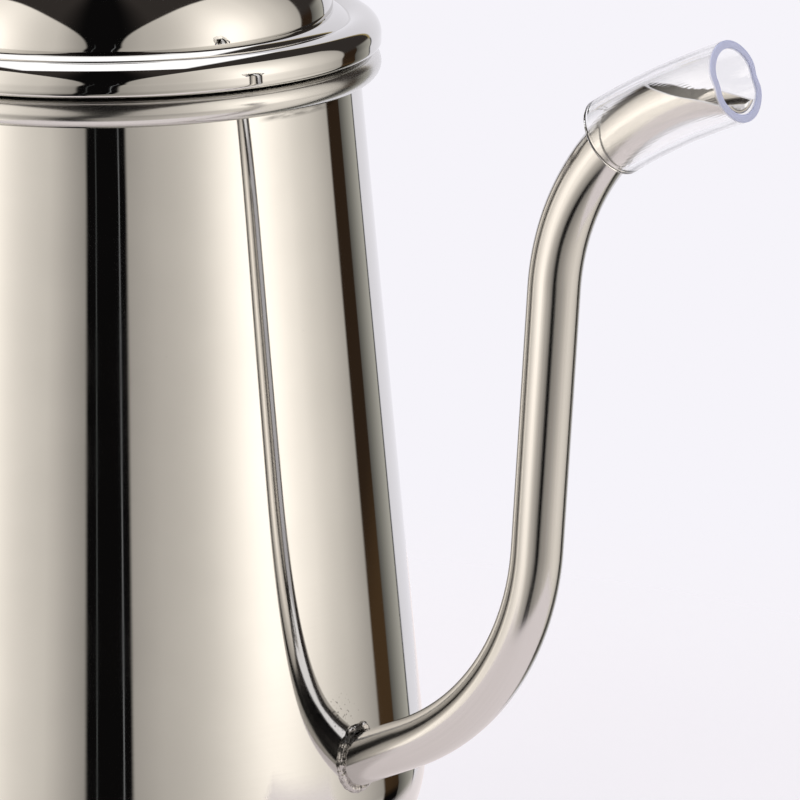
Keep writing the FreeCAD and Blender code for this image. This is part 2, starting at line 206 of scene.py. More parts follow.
def length_of(name, description, size_mm):
    """Length property, its default given in millimetres."""
    return bpy.props.FloatProperty(
        name=name, description=description, default=size_mm * MM, unit="LENGTH", subtype="DISTANCE",
    )


class KettleSizes(bpy.types.PropertyGroup):
    """Sizes of what the solids leave open."""

    turn_steps: bpy.props.IntProperty(
        name="Turning steps", description="Faces round each spun piece", default=256, min=48, max=400,
    )
    tube_steps: bpy.props.IntProperty(
        name="Tube steps", description="Faces round the spout and the sleeve", default=96, min=24, max=200,
    )
    weld_bead: length_of("Weld bead", "Radius of the bead at the spout's foot", 0.7)
    weld_ripple: length_of("Weld ripple", "How far the bead swells and sinks", 0.4)
    sleeve_pinch: bpy.props.FloatProperty(
        name="Sleeve pinch", description="How far the sides of the sleeve's free end are pressed in",
        default=0.13, subtype="FACTOR", min=0.0, max=0.3,
    )
    sleeve_bend: bpy.props.FloatProperty(
        name="Sleeve bend", description="How far the stiff sleeve follows the bend of the tip",
        default=math.radians(12.0), unit="ROTATION", subtype="ANGLE",
    )
    sleeve_overhang: length_of("Sleeve overhang", "How far the sleeve has slipped towards the tip", 0.9)


class KettleFinishes(bpy.types.PropertyGroup):
    """Colours of the materials."""

    steel: colour_of("Polished steel", "Reflection of the polished stainless steel", "D3D2D0")
    tube_steel: colour_of("Tube steel", "Reflection of the spout's satin-polished steel", "D2D0CE")
    weld_steel: colour_of("Weld steel", "Colour of the weld bead", "B7B4B2")
    phenolic: colour_of("Phenolic", "Colour of the moulded knob and grip", "1B1A1A")
    pvc_end: colour_of("PVC cut ends", "Tint of the sleeve's cut ends", "CDD6FF")
    aluminium: colour_of("Aluminium", "Colour of the disc in the base", "D6D7D9")
    brass: colour_of("Brass", "Colour of the knob's insert", "D9B56A")


class KettleStudio(bpy.types.PropertyGroup):
    """Camera, panels and floor."""

    lens: bpy.props.FloatProperty(
        name="Lens", description="Focal length", default=225.0, unit="CAMERA", min=20.0,
    )
    floor_radius: length_of("Floor radius", "Where the floor has faded into the backdrop", 300.0)
    table_reach: length_of("Table reach", "Half length of the floor that the steel mirrors", 195.0)
    table_setback: length_of("Table setback", "How far that floor is set back from the camera", 30.0)
    table_half_width: length_of("Table half width", "Half width of that floor", 110.0)
    white: colour_of("Backdrop", "Colour of the backdrop and the floor", "F6F4FA")
    panel: colour_of("Panels", "Tint of the two soft panels beside the camera", "FFF7EC")
    panel_strength: bpy.props.FloatProperty(
        name="Panel strength", description="Brightness of the two soft panels", default=1.54, min=0.0,
    )


# Half sections and paths, in millimetres


def polar(centre, radius, degrees):
    angle = math.radians(degrees)
    return (centre[0] + radius * math.cos(angle), centre[1] + radius * math.sin(angle))


def unit(degrees):
    return polar((0.0, 0.0), 1.0, degrees)


def arc(centre, radius, start, end, step=4.0):
    """Points of an arc from one angle to another, in degrees."""
    count = max(2, math.ceil(abs(end - start) / step))
    return [polar(centre, radius, start + (end - start) * i / count) for i in range(count + 1)]


def line(start, end, step=3.0):
    """Points of a straight stretch, without its ends."""
    count = max(1, math.ceil(math.dist(start, end) / step))
    shares = [i / count for i in range(1, count)]
    return [tuple(a + (b - a) * share for a, b in zip(start, end)) for share in shares]


def wall_radius(z):
    """Outer radius of the tapered wall at a height."""
    return WALL_TOP_R + (WALL_TOP_Z - z) * math.tan(TAPER)


def spout_root():
    """Where the spout's middle line meets the wall."""
    return (wall_radius(SPOUT_ROOT_Z), SPOUT_ROOT_Z)


def body_section():
    """The shell from the middle of its underside up over the rim, and from there down its inside."""
    corner = (CORNER_AXIS_R, CORNER_Z)
    lip = (RIM_AXIS_R, RIM_LIP_Z)
    bead = (RIM_AXIS_R, RIM_BEAD_Z)
    bottom = (0.0, BASE_H)
    inner_bottom = (0.0, BASE_H + BODY_SHEET)
    outer_corner = arc(corner, CORNER_R, -90.0, WALL_TAPER, step=2.5)
    inner_corner = arc(corner, CORNER_R - BODY_SHEET, WALL_TAPER, -90.0, step=2.5)
    under_lip = arc(lip, RIM_LIP_R - BODY_SHEET, 180.0 + WALL_TAPER, 90.0)
    under_bead = arc(bead, RIM_BEAD_R - BODY_SHEET, 90.0, RIM_CURL_END)
    over_bead = arc(bead, RIM_BEAD_R, RIM_CURL_END, 90.0)
    over_lip = arc(lip, RIM_LIP_R, 90.0, 180.0 + WALL_TAPER)
    outside = (
        [bottom] + line(bottom, outer_corner[0]) + outer_corner + line(outer_corner[-1], under_lip[0])
        + under_lip[:-1] + under_bead + over_bead[:-1] + over_lip
    )
    inside = (
        line(over_lip[-1], inner_corner[0], step=8.0) + inner_corner
        + line(inner_corner[-1], inner_bottom) + [inner_bottom]
    )
    return outside, inside


def arc_centre(start, end, radius):
    """Centre of an arc that bulges to the left on the way from start to end."""
    across = (end[0] - start[0], end[1] - start[1])
    chord = math.hypot(*across)
    leg = math.sqrt(radius ** 2 - (chord / 2.0) ** 2)
    return (
        (start[0] + end[0]) / 2.0 + across[1] / chord * leg,
        (start[1] + end[1]) / 2.0 - across[0] / chord * leg,
    )


def angle_about(centre, point):
    return math.degrees(math.atan2(point[1] - centre[1], point[0] - centre[0]))


def dome_points(thickness, ledge_z):
    """The dome's elliptical section, from its foot up to the flat under the knob."""
    across = LID_R - LID_BORDER - thickness
    rise = DOME_H - thickness
    last = math.acos(DOME_FLAT_R / across)
    angles = [last * i / DOME_STEPS for i in range(DOME_STEPS + 1)]
    return [(across * math.cos(angle), ledge_z + rise * math.sin(angle)) for angle in angles]


def lid_section():
    """The lid from the middle of its underside, down and round its bead, and up over the dome."""
    curl = (LID_R - LID_CURL_R, LID_FLANGE_Z + LID_CURL_R)
    bead = (LID_R - LID_BEAD_R, curl[1] + LID_FLANK)
    foot = (LID_R - LID_BORDER, bead[1] + LEDGE_RISE)
    bead_start = 180.0 - math.degrees(math.acos((bead[0] - foot[0] - LEDGE_W) / LID_BEAD_R))
    crease = polar(bead, LID_BEAD_R, bead_start)
    ledge = arc_centre(foot, crease, LEDGE_ROUND)
    foot_deg = angle_about(ledge, foot)
    crease_deg = angle_about(ledge, crease)
    inside = dome_points(LID_SHEET, foot[1])[::-1]
    outside = dome_points(0.0, foot[1])
    low_middle = (0.0, inside[0][1])
    top_middle = (0.0, outside[-1][1])
    return (
        [low_middle] + line(low_middle, inside[0]) + inside
        + arc(foot, LID_SHEET, -180.0, foot_deg - 180.0, step=10.0)
        + arc(ledge, LEDGE_ROUND - LID_SHEET, foot_deg, crease_deg)
        + arc(crease, LID_SHEET, crease_deg - 180.0, bead_start - 180.0, step=10.0)
        + arc(bead, LID_BEAD_R - LID_SHEET, bead_start, 0.0)
        + arc(curl, LID_CURL_R - LID_SHEET, 0.0, -90.0, step=15.0)
        + arc(curl, LID_CURL_R, -90.0, 0.0, step=10.0)
        + line((LID_R, curl[1]), (LID_R, bead[1]), step=0.4)
        + arc(bead, LID_BEAD_R, 0.0, bead_start, step=3.0)
        + arc(ledge, LEDGE_ROUND, crease_deg, foot_deg, step=2.5)
        + outside + line(outside[-1], top_middle) + [top_middle]
    )


def spout_path(cope):
    """Places and headings along the spout's middle line, from inside the wall to the tip."""
    heading = SPOUT_ROOT_ANGLE
    start = polar(spout_root(), -cope, heading)
    path = [(start, heading)]
    legs = (
        (cope + SPOUT_ROOT_RUN, 0.0),
        (SPOUT_FOOT_BEND_R, SPOUT_RISER_ANGLE - SPOUT_ROOT_ANGLE),
        (SPOUT_RISER_RUN, 0.0),
        (SPOUT_TIP_BEND_R, SPOUT_TIP_ANGLE - SPOUT_RISER_ANGLE),
    )
    for size, turn in legs:
        place, heading = path[-1]
        if turn:
            side = math.copysign(90.0, turn)
            centre = polar(place, size, heading + side)
            count = math.ceil(abs(turn) / BEND_STEP)
            turns = [heading + turn * i / count for i in range(1, count + 1)]
            path += [(polar(centre, size, now - side), now) for now in turns]
        else:
            count = math.ceil(size / RUN_STEP)
            path += [(polar(place, size * i / count, heading), heading) for i in range(1, count + 1)]
    return path


# Trees and pieces


def add_node(tree, kind, inputs=(), output=0, **settings):
    """Adds a node with its settings and gives its inputs values or links, in order or by name.

    It hands back one output.
    """
    node = tree.nodes.new(kind)
    for name, value in settings.items():
        setattr(node, name, value)
    for key, value in inputs.items() if isinstance(inputs, dict) else enumerate(inputs):
        if isinstance(value, bpy.types.NodeSocket):
            tree.links.new(value, node.inputs[key])
        else:
            node.inputs[key].default_value = value
    return node.outputs[output] if len(node.outputs) else node


def carried_section_tree():
    """Tree that carries a section along a line.

    Each point of the line has a side vector and a reach. A point of the section lands at the
    line's point, plus its X along the side and its Y along Up, both times the reach.
    """
    name = "Section carried along a line"
    if name in bpy.data.node_groups:
        return bpy.data.node_groups[name]
    tree = bpy.data.node_groups.new(name, "GeometryNodeTree")
    add = partial(add_node, tree)
    sockets = {
        "Line": "Geometry", "Section": "Object", "Up": "Vector", "Ripple": "Float",
        "Ripple Spacing": "Float", "Seed": "Float", "Sharp Angle": "Float", "Material": "Material",
    }
    for label, kind in sockets.items():
        tree.interface.new_socket(label, in_out="INPUT", socket_type="NodeSocket" + kind)
    tree.interface.new_socket("Piece", in_out="OUTPUT", socket_type="NodeSocketGeometry")
    given = add("NodeGroupInput").node.outputs
    section = add("GeometryNodeObjectInfo", {"Object": given["Section"]}, "Geometry")
    rows = add("GeometryNodeAttributeDomainSize", (given["Line"],), "Point Count")
    across = add("GeometryNodeAttributeDomainSize", (section,), "Point Count")
    grid = add("GeometryNodeMeshGrid", {"Vertices X": rows, "Vertices Y": across}, "Mesh")
    index = add("GeometryNodeInputIndex")
    share = add(MATH, (index, across), operation="DIVIDE")
    row = add(MATH, (share,), operation="FLOOR")
    column = add(MATH, (index, across), operation="FLOORED_MODULO")
    place = add("GeometryNodeInputPosition")
    side = add("GeometryNodeInputNamedAttribute", {"Name": "side"}, data_type="FLOAT_VECTOR")
    reach = add("GeometryNodeInputNamedAttribute", {"Name": "reach"}, data_type="FLOAT")
    wanted = (
        (given["Line"], place, row, "FLOAT_VECTOR"), (given["Line"], side, row, "FLOAT_VECTOR"),
        (given["Line"], reach, row, "FLOAT"), (section, place, column, "FLOAT_VECTOR"),
    )
    picks = []
    for geometry, value, at, kind in wanted:
        pick = {"Geometry": geometry, "Value": value, "Index": at}
        picks.append(add("GeometryNodeSampleIndex", pick, data_type=kind))
    centre, side, reach, shape = picks
    shape = add(VECTOR, {0: shape, "Scale": reach}, operation="SCALE")
    parts = add(SPLIT, (shape,)).node.outputs
    along_side = add(VECTOR, {0: side, "Scale": parts["X"]}, operation="SCALE")
    along_up = add(VECTOR, {0: given["Up"], "Scale": parts["Y"]}, operation="SCALE")
    offset = add(VECTOR, (along_side, along_up), operation="ADD")
    landed = add(VECTOR, (centre, offset), operation="ADD")
    moved = add("GeometryNodeSetPosition", {"Geometry": grid, "Position": landed})
    lines = add("ShaderNodeCombineXYZ", {"X": row, "Y": column})
    lines = add("GeometryNodeFieldOnDomain", {"Value": lines}, data_type="FLOAT_VECTOR", domain="POINT")
    stored = add(
        "GeometryNodeStoreNamedAttribute", {"Geometry": moved, "Name": "lines", "Value": lines},
        data_type="FLOAT2", domain="CORNER",
    )
    closed = add("GeometryNodeMergeByDistance", {"Geometry": stored, "Distance": TOUCH * MM})
    scale = add(MATH, (1.0, given["Ripple Spacing"]), operation="DIVIDE")
    bumps = add(NOISE, {"W": given["Seed"], "Scale": scale, "Detail": 2.0}, noise_dimensions="4D")
    swell = add(MATH, (bumps, 0.5), operation="SUBTRACT")
    swell = add(MATH, (swell, given["Ripple"]), operation="MULTIPLY")
    normal = add("GeometryNodeInputNormal")
    push = add(VECTOR, {0: normal, "Scale": swell}, operation="SCALE")
    rippled = add("GeometryNodeSetPosition", {"Geometry": closed, "Offset": push})
    angle = add("GeometryNodeInputMeshEdgeAngle", (), "Unsigned Angle")
    smooth = add(MATH, (angle, given["Sharp Angle"]), operation="LESS_THAN")
    shaded = add("GeometryNodeSetShadeSmooth", {0: rippled, "Shade Smooth": smooth}, domain="EDGE")
    whole = add("GeometryNodeRealizeInstances", (shaded,))
    painted = add("GeometryNodeSetMaterial", {"Geometry": whole, "Material": given["Material"]})
    add("NodeGroupOutput", (painted,))
    return tree


def carried(name, line_points, section_points, up, material, ripple=(0.0, 1.0, 0.0), sharp=SHARP_ANGLE):
    """Piece made by carrying a section along a line of (place, side, reach), all in millimetres.

    The ripple is its height, its spacing, both in metres, and its seed.
    """
    places, sides, reaches = zip(*line_points)
    sheet = bpy.data.meshes.new(name + "_section")
    sheet.from_pydata([(x * MM, y * MM, 0.0) for x, y in section_points], [], [])
    section = bpy.data.objects.new(name + "_section", sheet)
    path = bpy.data.meshes.new(name + "_line")
    path.from_pydata([Vector(place) * MM for place in places], [], [])
    vectors = path.attributes.new("side", "FLOAT_VECTOR", "POINT").data
    vectors.foreach_set("vector", [value for side in sides for value in side])
    path.attributes.new("reach", "FLOAT", "POINT").data.foreach_set("value", reaches)
    piece = bpy.data.objects.new(name, path)
    for item in (section, piece):
        bpy.context.scene.collection.objects.link(item)
    tree = carried_section_tree()
    modifier = piece.modifiers.new("Carried section", "NODES")
    modifier.node_group = tree
    values = {
        "Section": section, "Up": up, "Ripple": ripple[0], "Ripple Spacing": ripple[1], "Seed": ripple[2],
        "Sharp Angle": math.radians(sharp), "Material": material,
    }
    for item in tree.interface.items_tree:
        if item.in_out == "INPUT" and item.name in values:
            modifier[item.identifier] = values[item.name]
    settle(piece)
    bpy.data.objects.remove(section)
    bpy.data.meshes.remove(sheet)
    return piece


def settle(piece):
    """Turns what the piece's modifiers make into its plain mesh, and takes them off."""
    graph = bpy.context.evaluated_depsgraph_get()
    made = bpy.data.meshes.new_from_object(
        piece.evaluated_get(graph), preserve_all_data_layers=True, depsgraph=graph,
    )
    old = piece.data
    piece.modifiers.clear()
    piece.data = made
    made.name = piece.name
    bpy.data.meshes.remove(old)
    if not made.polygons:
        raise RuntimeError(piece.name + " came out empty")
    material = next((item for item in made.materials if item), None)
    made.materials.clear()
    made.materials.append(material)
    made.polygons.foreach_set("material_index", [0] * len(made.polygons))


def turned(name, section_points, steps, material):
    """Spun piece: a half section carried round the upright axis."""
    angles = [2.0 * math.pi * i / steps for i in range(steps + 1)]
    ring = [((0.0, 0.0, 0.0), (math.cos(a), math.sin(a), 0.0), 1.0) for a in angles]
    return carried(name, ring, section_points, UP_AXIS, material)


def circle(steps):
    """Closed circle with a radius of one."""
    return [unit(360.0 * i / steps) for i in range(steps + 1)]


def station(place, heading, reach):
    """A line point in the XZ plane, its side vector to the left of the heading."""
    side = unit(heading + 90.0)
    return ((place[0], 0.0, place[1]), (side[0], 0.0, side[1]), reach)


def pipe(path, outer, inner, lip):
    """Line points out along a tube's outside and back along its bore, with rounded ends."""
    def end_ring(place, heading, ahead):
        middle = (outer + inner) / 2.0
        half = (outer - inner) / 2.0
        ring = []
        for degrees in (150.0, 120.0, 90.0, 60.0, 30.0):
            reach, out = polar((middle, 0.0), half, degrees)
            ring.append(station(polar(place, ahead * (lip * out / half), heading), heading, reach))
        return ring

    go = [station(place, heading, outer) for place, heading in path]
    back = [station(place, heading, inner) for place, heading in reversed(path)]
    far = end_ring(*path[-1], 1.0)[::-1]
    near = end_ring(*path[0], -1.0)
    return go + far + back + near + go[:1]


def carve(piece, tool):
    """Takes a tool's solid out of a piece, then keeps the cut's edges sharp."""
    modifier = piece.modifiers.new("Cut", "BOOLEAN")
    modifier.operation = "DIFFERENCE"
    modifier.solver = "EXACT"
    modifier.object = tool
    settle(piece)
    bpy.data.objects.remove(tool)
    piece.data.set_sharp_from_angle(angle=math.radians(SHARP_ANGLE))


def cutter(outline, reach, place, heading, start, end):
    """Solid to cut with: an outline times a reach, carried straight along a heading in the XZ plane."""
    stops = ((start, 0.0), (start, reach), (end, reach), (end, 0.0))
    path = [station(polar(place, along, heading), heading, size) for along, size in stops]
    return carried("cutter", path, outline, SIDE_AXIS, None)


def finish_piece(piece, body, slot, *nodes):
    """Hands a finished piece to the frame."""
    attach(piece, body)
    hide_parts(*nodes)


# Materials: each function gives the inputs of the Principled shader


def new_material(name):
    """Empty material, and what adds nodes to it."""
    material = bpy.data.materials.new(name)
    material.use_nodes = True
    material.node_tree.nodes.clear()
    return material, partial(add_node, material.node_tree)


def made_of(name, look, *settings):
    """The material of this name, made when it is first asked for."""
    if name not in bpy.data.materials:
        _, add = new_material(name)
        shader = add("ShaderNodeBsdfPrincipled", look(add, *settings))
        add("ShaderNodeOutputMaterial", {"Surface": shader})
    return bpy.data.materials[name]


def finishes():
    """Colours that the panel offers."""
    return bpy.context.scene.kettle_finishes


def per_size(size_mm):
    """Noise scale whose features are about this many millimetres across."""
    return 1.0 / (size_mm * MM)


def mirror_steel(add):
    """Stainless steel 18/8, spun and buffed: a near mirror with faint buffing haze and spinning lines."""
    place = add(COORDINATES, (), "Object")
    # Buffing leaves soft patches that are a little duller than the rest
    haze = add(NOISE, {"Vector": place, "Scale": per_size(14.0), "Detail": 3.0})
    rough = add(RANGE, (haze, 0.35, 0.75, 0.025, 0.06))
    tint = add(RANGE, (haze, 0.3, 0.8, 1.0, 0.95))
    shade = add(MIX, {"Factor": tint, 6: tone("000000"), 7: tone(finishes().steel)}, 2, **RGBA)
    # Spinning lines run round the axis, so the pattern is drawn out across it and fine along it
    stretch = add("ShaderNodeMapping", {"Vector": place, "Scale": (0.02, 0.02, 1.0)})
    spun = add(NOISE, {"Vector": stretch, "Scale": per_size(0.9), "Detail": 2.0})
    bump = add(BUMP, {"Height": spun, "Strength": 0.012, "Distance": 0.1 * MM})
    return {"Base Color": shade, "Metallic": 1.0, "Roughness": rough, "Normal": bump}


def body_steel(add):
    """The same steel on the body: a satin curl and inside, and marks of the workshop near the spout."""
    look = mirror_steel(add)
    place = add(COORDINATES, (), "Object")
    height = add(SPLIT, (place,), "Z")
    # The curled rim is harder to reach with the buff, and nobody buffs the inside
    curl_low = (RIM_TOP_Z - 2.0 * RIM_BEAD_R - 0.2) * MM
    curl = add(RANGE, (height, curl_low, curl_low + 0.3 * MM, 0.0, 0.15))
    rough = add(MATH, (look["Roughness"], curl), operation="ADD")
    lines = add("ShaderNodeAttribute", (), "Vector", attribute_name="lines")
    column = add(SPLIT, (lines,), "Y")
    inside = add(MATH, (column, len(body_section()[0]) - 0.5), operation="GREATER_THAN")
    rough = add(MIX, {"Factor": inside, 2: rough, 3: 0.42}, data_type="FLOAT")
    # Polish residue is left as a wiped streak under the curl
    line_z = curl_low - 0.65 * MM
    off_line = add(MATH, (height, line_z), operation="SUBTRACT")
    off_line = add(MATH, (off_line,), operation="ABSOLUTE")
    band = add(RANGE, (off_line, 0.8 * MM, 0.2 * MM))
    wiped = add("ShaderNodeMapping", {"Vector": place, "Scale": (0.2, 0.2, 1.0)})
    ragged = add(NOISE, {"Vector": wiped, "Scale": per_size(0.9), "Detail": 4.0})
    patch = add(RANGE, (ragged, 0.3, 0.6))
    smear = add(MATH, (band, patch), operation="MULTIPLY")
    from_smear = add(VECTOR, (place, SMEAR_PLACE), "Value", operation="DISTANCE")
    spout_side = add(RANGE, (from_smear, 11.0 * MM, 7.0 * MM), **SMOOTH)
    smear = add(MATH, (smear, spout_side), operation="MULTIPLY")
    # Sparks from the weld have left specks above it
    from_sparks = add(VECTOR, (place, SPARK_PLACE), "Value", operation="DISTANCE")
    close = add(RANGE, (from_sparks, 6.5 * MM, 1.5 * MM, 0.0, 0.24))
    specks = add(NOISE, {"Vector": place, "Scale": per_size(0.55), "Detail": 2.0})
    specks = add(MATH, (specks, close), operation="ADD")
    specks = add(RANGE, (specks, 0.79, 0.88))
    soil = add(MATH, (smear, specks), operation="MAXIMUM")
    soil = add(MATH, (soil, 0.55), operation="MULTIPLY")
    shade = add(MIX, {"Factor": soil, 6: look["Base Color"], 7: tone("000000")}, 2, **RGBA)
    return {**look, "Base Color": shade, "Roughness": rough}


def satin_steel(add):
    """Stainless steel tube, drawn and hand polished: soft reflections with fine lines along its length."""
    colour = finishes().tube_steel
    lines = add("ShaderNodeAttribute", (), "Vector", attribute_name="lines")
    # The lines count steps along and round the tube, so the pattern is drawn out along it
    stretch = add("ShaderNodeMapping", {"Vector": lines, "Scale": (0.02, 1.2, 1.0)})
    drawn = add(NOISE, {"Vector": stretch, "Scale": 1.0, "Detail": 4.0})
    bump = add(BUMP, {"Height": drawn, "Strength": 0.02, "Distance": 0.1 * MM})
    rough = add(RANGE, (drawn, 0.3, 0.7, 0.1, 0.19))
    shade = add(MIX, {"Factor": drawn, 6: tone(colour, 0.9), 7: tone(colour)}, 2, **RGBA)
    return {"Base Color": shade, "Metallic": 1.0, "Roughness": rough, "Normal": bump}


def weld_metal(add):
    """Stainless weld bead, left as cooled: bright rounded drops, dull in the creases, where shade is
    painted dark.
    """
    colour = finishes().weld_steel
    place = add(COORDINATES, (), "Object")
    drops = add(NOISE, {"Vector": place, "Scale": per_size(1.4), "Detail": 3.0})
    rough = add(RANGE, (drops, 0.35, 0.65, 0.35, 0.1))
    # Shade is painted dark over more of the bead at the top, on the side towards the camera
    part = add(SPLIT, (place,)).node.outputs
    top = add(RANGE, (part["Z"], WELD_PAINTED_SHADE_Z * MM, (WELD_PAINTED_SHADE_Z + 1.5) * MM, 0.0, 0.16))
    start = add(RANGE, (part["Y"], 1.8 * MM, 0.8 * MM))
    top = add(MATH, (top, start), operation="MULTIPLY")
    # The creases between the drops are painted dark, as shade
    crease_shade = add(MATH, (drops, top), operation="SUBTRACT")
    share = add(RANGE, (crease_shade, 0.34, 0.46))
    shade = add(MIX, {"Factor": share, 6: tone(colour, 0.16), 7: tone(colour)}, 2, **RGBA)
    bump = add(BUMP, {"Height": drops, "Strength": 0.4, "Distance": 0.25 * MM})
    return {"Base Color": shade, "Metallic": 1.0, "Roughness": rough, "Normal": bump}


def black_phenolic(add):
    """Phenolic resin, compression moulded: black, a soft gloss and a faint flow pattern."""
    colour = finishes().phenolic
    place = add(COORDINATES, (), "Object")
    flow = add(NOISE, {"Vector": place, "Scale": per_size(3.0), "Detail": 4.0})
    shade = add(MIX, {"Factor": flow, 6: tone(colour), 7: tone(colour, 1.6)}, 2, **RGBA)
    rough = add(RANGE, (flow, 0.3, 0.7, 0.2, 0.34))
    skin = add(NOISE, {"Vector": place, "Scale": per_size(0.6), "Detail": 2.0})
    bump = add(BUMP, {"Height": skin, "Strength": 0.06, "Distance": 0.1 * MM})
    return {"Base Color": shade, "Roughness": rough, "Normal": bump, "IOR": 1.6}


def clear_pvc(add):
    """Plasticised PVC, extruded: water clear through the wall, bluish where a cut end gathers the light."""
    ends = add("ShaderNodeAttribute", (), "Fac", attribute_name="cut_end")
    shade = add(MIX, {"Factor": ends, 6: tone("FFFFFF"), 7: tone(finishes().pvc_end)}, 2, **RGBA)
    clear = add(RANGE, {0: ends, 3: 1.0, 4: 0.08})
    rough = add(RANGE, {0: ends, 3: 0.03, 4: 0.5})
    place = add(COORDINATES, (), "Object")
    wave = add(NOISE, {"Vector": place, "Scale": per_size(5.0), "Detail": 1.0})
    bump = add(BUMP, {"Height": wave, "Strength": 0.04, "Distance": 0.5 * MM})
    return {
        "Base Color": shade, "Transmission Weight": clear, "Roughness": rough, "IOR": 1.53, "Normal": bump,
    }


def plain_metal(add, colour, grain_mm, low, high):
    """Metal that is rolled, turned or headed: a grain of a given size and a dull sheen."""
    place = add(COORDINATES, (), "Object")
    grain = add(NOISE, {"Vector": place, "Scale": per_size(grain_mm), "Detail": 3.0})
    shade = add(MIX, {"Factor": grain, 6: tone(colour, 0.86), 7: tone(colour)}, 2, **RGBA)
    rough = add(RANGE, (grain, 0.3, 0.7, low, high))
    bump = add(BUMP, {"Height": grain, "Strength": 0.05, "Distance": 0.1 * MM})
    return {"Base Color": shade, "Metallic": 1.0, "Roughness": rough, "Normal": bump}


def polished_steel():
    """Material of the lid, the base cap and the small sheet pieces."""
    return made_of("Stainless steel, spun and mirror buffed", mirror_steel)


class KETTLE_OT_body(bpy.types.Operator):
    """Makes the spun body shell, with the port that the spout pours from"""

    bl_idname = "kettle.body"
    bl_label = "Body shell"

    def execute(self, context):
        steps = context.scene.kettle_sizes.turn_steps
        outside, inside = body_section()
        steel = made_of("Stainless steel, spun and mirror buffed, satin inside", body_steel)
        shell = turned("body", outside + inside, steps, steel)
        start = polar(spout_root(), -CORNER_R, SPOUT_ROOT_ANGLE)
        bore = circle(CUTTER_STEPS)
        carve(shell, cutter(bore, TUBE_R - TUBE_WALL, start, SPOUT_ROOT_ANGLE, 0.0, 2.0 * CORNER_R))
        finish_piece(shell, "kettle", "polished_steel", "body_shell")
        return {"FINISHED"}


class KETTLE_OT_lid(bpy.types.Operator):
    """Makes the domed lid, with its ledge, its rolled bead, its vent and the hole for the knob's screw"""

    bl_idname = "kettle.lid"
    bl_label = "Lid"

    def execute(self, context):
        steps = context.scene.kettle_sizes.turn_steps
        shell = turned("lid", lid_section(), steps, polished_steel())
        low = LID_FLANGE_Z + LID_BEAD_R
        for place, radius in ((VENT_PLACE, VENT_R), (0.0, SCREW_PASS_R)):
            carve(shell, cutter(circle(CUTTER_STEPS), radius, (place, low), 90.0, 0.0, 2.0 * DOME_H))
        finish_piece(shell, "lid", "polished_steel", "lid_shell")
        return {"FINISHED"}


def make_weld(sizes):
    """Rippled bead that follows the line where the tube meets the wall."""
    root = spout_root()
    across = unit(SPOUT_ROOT_ANGLE + 90.0)
    along = unit(SPOUT_ROOT_ANGLE)
    out = Vector((math.cos(TAPER), 0.0, math.sin(TAPER)))
    centre = Vector((root[0], 0.0, root[1]))
    line_points = []
    for i in range(WELD_STEPS + 1):
        angle = 2.0 * math.pi * i / WELD_STEPS
        heap = max(0.0, math.cos(angle)) ** WELD_HEAP_POWER
        drop = math.exp(-((angle - WELD_END) / WELD_DROP_SPREAD) ** 2)
        reach = TUBE_R + WELD_STAND_OFF + WELD_HEAP * heap + WELD_DROP * drop
        x = root[0] + across[0] * math.cos(angle) * reach
        z = root[1] + across[1] * math.cos(angle) * reach
        y = math.sin(angle) * reach
        # The point slides along the tube until it lies on the wall
        for _ in range(WELD_SLIDES):
            gap = wall_radius(z) - math.hypot(x, y)
            x += along[0] * gap
            z += along[1] * gap
        point = Vector((x, y, z))
        side = (point - centre).cross(out).cross(out).normalized()
        line_points.append((point, side, 1.0 + WELD_HEAP_SWELL * heap + WELD_DROP_SWELL * drop))
    radius = sizes.weld_bead / MM
    section = [(x * radius, y * radius) for x, y in circle(WELD_ROUND_STEPS)]
    # The noise goes half its height up and half down
    ripple = (sizes.weld_ripple * 2.0, WELD_RIPPLE_SPACING * MM, WELD_SEED)
    steel = made_of("Stainless steel, weld bead as cooled", weld_metal)
    return carried("weld", line_points, section, tuple(out), steel, ripple=ripple, sharp=ALL_SMOOTH)


class KETTLE_OT_spout(bpy.types.Operator):
    """Makes the bent spout, coped to the wall and cut at a slant, and the weld round its foot"""

    bl_idname = "kettle.spout"
    bl_label = "Spout and weld"

    def execute(self, context):
        sizes = context.scene.kettle_sizes
        path = spout_path(2.0 * TUBE_R)
        line_points = pipe(path, TUBE_R, TUBE_R - TUBE_WALL, TUBE_LIP)
        steel = made_of("Stainless steel tube, drawn and satin polished", satin_steel)
        tube = carried("spout", line_points, circle(sizes.tube_steps), SIDE_AXIS, steel)
        outside, _ = body_section()
        top = max(range(len(outside)), key=lambda i: outside[i][1])
        wall = [(r, z) for r, z in outside[:top] if z < NECK_Z and r <= wall_radius(z) + TOUCH]
        carve(tube, turned("wall_cutter", wall + [(0.0, NECK_Z)], sizes.turn_steps, None))
        end, heading = path[-1]
        lip = polar(end, TIP_LIP - TUBE_R, heading + 90.0)
        # The slanting cut is the underside of a block as large as the bend
        half = SPOUT_TIP_BEND_R
        block = [(-half, -half), (half, -half), (half, half), (-half, half), (-half, -half)]
        middle = polar(lip, half, 90.0 - TIP_CUT_SLOPE)
        carve(tube, cutter(block, 1.0, middle, -TIP_CUT_SLOPE, -2.0 * half, 2.0 * half))
        finish_piece(tube, "kettle", "polished_steel", "spout_tube")
        finish_piece(make_weld(sizes), "kettle", "weld_steel", "spout_weld")
        return {"FINISHED"}


